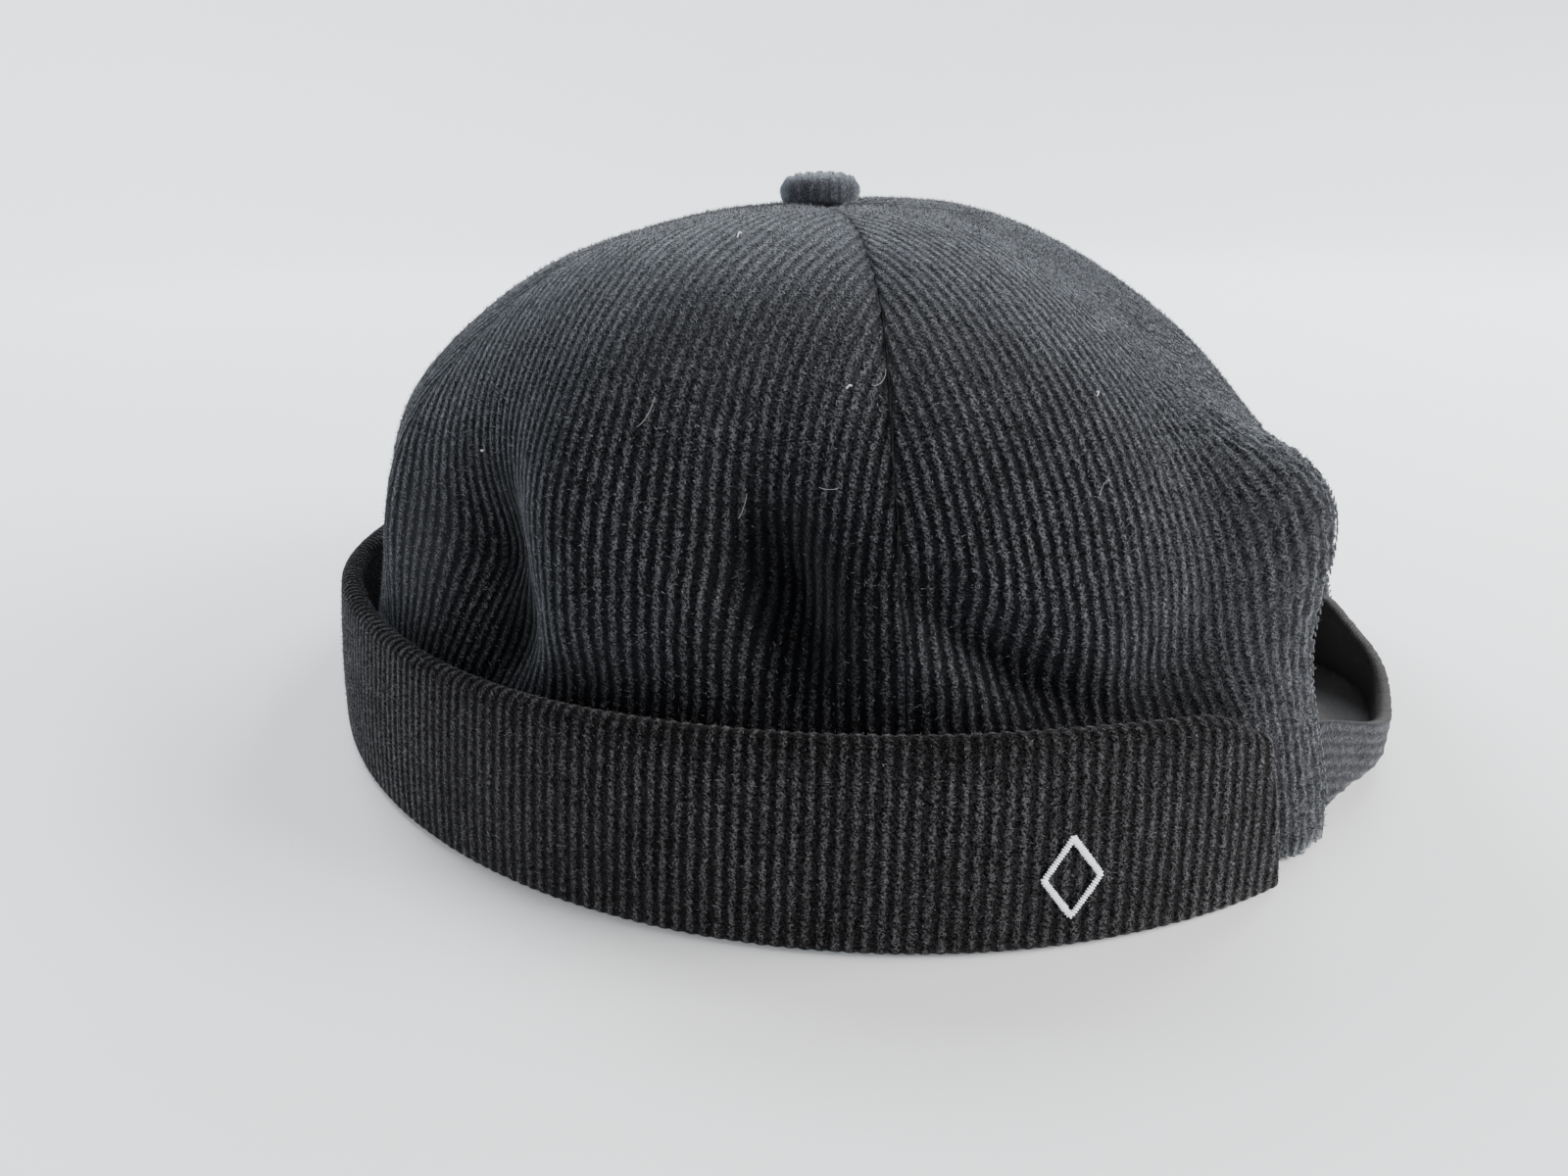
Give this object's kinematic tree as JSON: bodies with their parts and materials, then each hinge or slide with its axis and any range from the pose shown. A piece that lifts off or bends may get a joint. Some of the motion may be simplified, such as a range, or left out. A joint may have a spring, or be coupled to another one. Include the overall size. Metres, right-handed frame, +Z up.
{
  "type": "sailor cap",
  "caption": "Brimless corduroy sailor cap: panelled domed crown, covered button, turned-up cuff and a strap across the arched opening at the back.",
  "frame": {"origin": "centre of the whole cap in plan, strap included, on the surface it rests on", "axes": "+Z up; +Y towards the back of the cap, where the opening and its strap are; +X towards the wearer's left"},
  "size_m": [0.195, 0.212, 0.0972],
  "materials": {
    "crown_corduroy": "black cotton corduroy, fine wales running up each panel, soft pile with a cool sheen at a glancing angle",
    "cuff_corduroy": "black cotton corduroy, wales upright, grooves a little warmer than the pile",
    "strap_corduroy": "black corduroy outside with its wales along the strap, smooth twill back inside",
    "button_corduroy": "black corduroy drawn over a small domed button",
    "black_thread": "black polyester sewing thread",
    "white_thread": "white embroidery thread, satin stitch",
    "lint": "loose pile fibres and specks of lint"
  },
  "bodies": {
    "root": {"crown_panel_back_left": "crown_corduroy", "crown_panel_side_left": "crown_corduroy", "crown_panel_front_left": "crown_corduroy", "crown_panel_front_right": "crown_corduroy", "crown_panel_side_right": "crown_corduroy", "crown_panel_back_right": "crown_corduroy", "turned_up_cuff": "cuff_corduroy", "back_strap": "strap_corduroy", "crown_button": "button_corduroy"}
  },
  "joints": []
}
